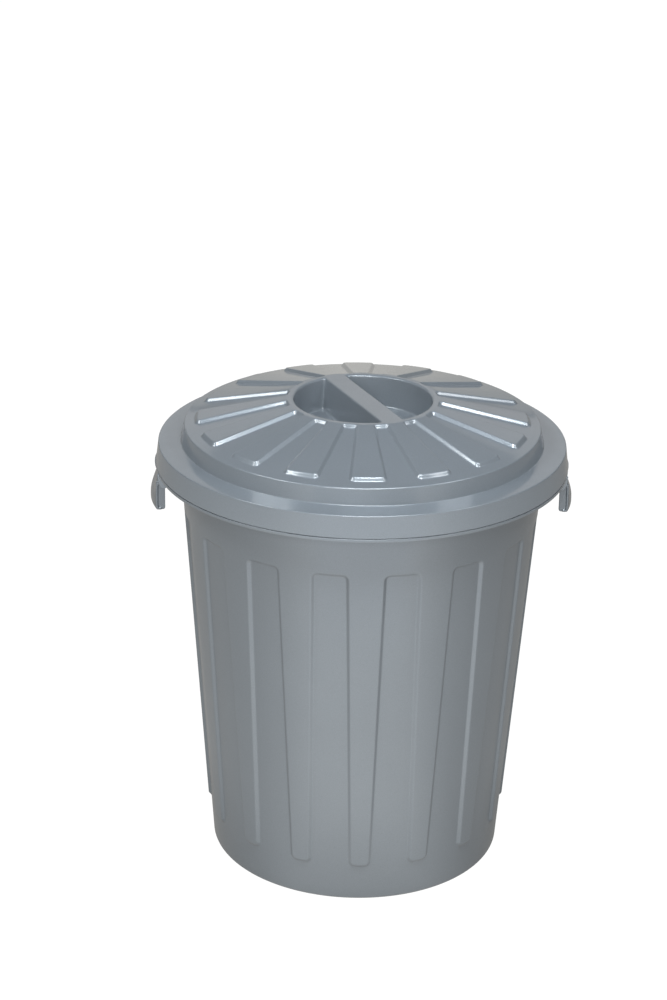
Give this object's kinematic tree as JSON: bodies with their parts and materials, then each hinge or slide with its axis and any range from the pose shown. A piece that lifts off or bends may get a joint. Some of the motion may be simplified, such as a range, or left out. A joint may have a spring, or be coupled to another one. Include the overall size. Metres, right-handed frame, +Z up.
{
  "type": "trash can with lid",
  "caption": "Round tapered trash can with raised ribs, a lift-off lid with radial bars and a recessed grab bar, and a swing handle hanging under the rim on each side.",
  "frame": {"origin": "centre of the base's resting face", "axes": "+Z up along the can's axis; the two handles are at +X and -X; a rib of the can faces -Y, the side that the picture shows"},
  "size_m": [0.483, 0.47, 0.553],
  "materials": {
    "bin_body": "silver-grey moulded plastic, satin gloss",
    "lid": "silver-grey moulded plastic, satin gloss",
    "left_handle": "silver-grey moulded plastic, satin gloss",
    "right_handle": "silver-grey moulded plastic, satin gloss"
  },
  "bodies": {
    "can": {"bin_body": "bin_body"},
    "lid": {"lid": "lid"},
    "left_handle": {"left_handle": "left_handle"},
    "right_handle": {"right_handle": "right_handle"}
  },
  "joints": [
    {"name": "lid_lift", "type": "slide", "parent": "can", "child": "lid", "axis": [0, 0, 1], "range_m": [0, 0.3]},
    {"name": "left_handle_swing", "type": "hinge", "parent": "can", "child": "left_handle", "pos_m": [-0.2262, 0, 0.466], "axis": [0, 1, 0], "range_deg": [0, 75]},
    {"name": "right_handle_swing", "type": "hinge", "parent": "can", "child": "right_handle", "pos_m": [0.2262, 0, 0.466], "axis": [0, -1, 0], "range_deg": [0, 75]}
  ]
}
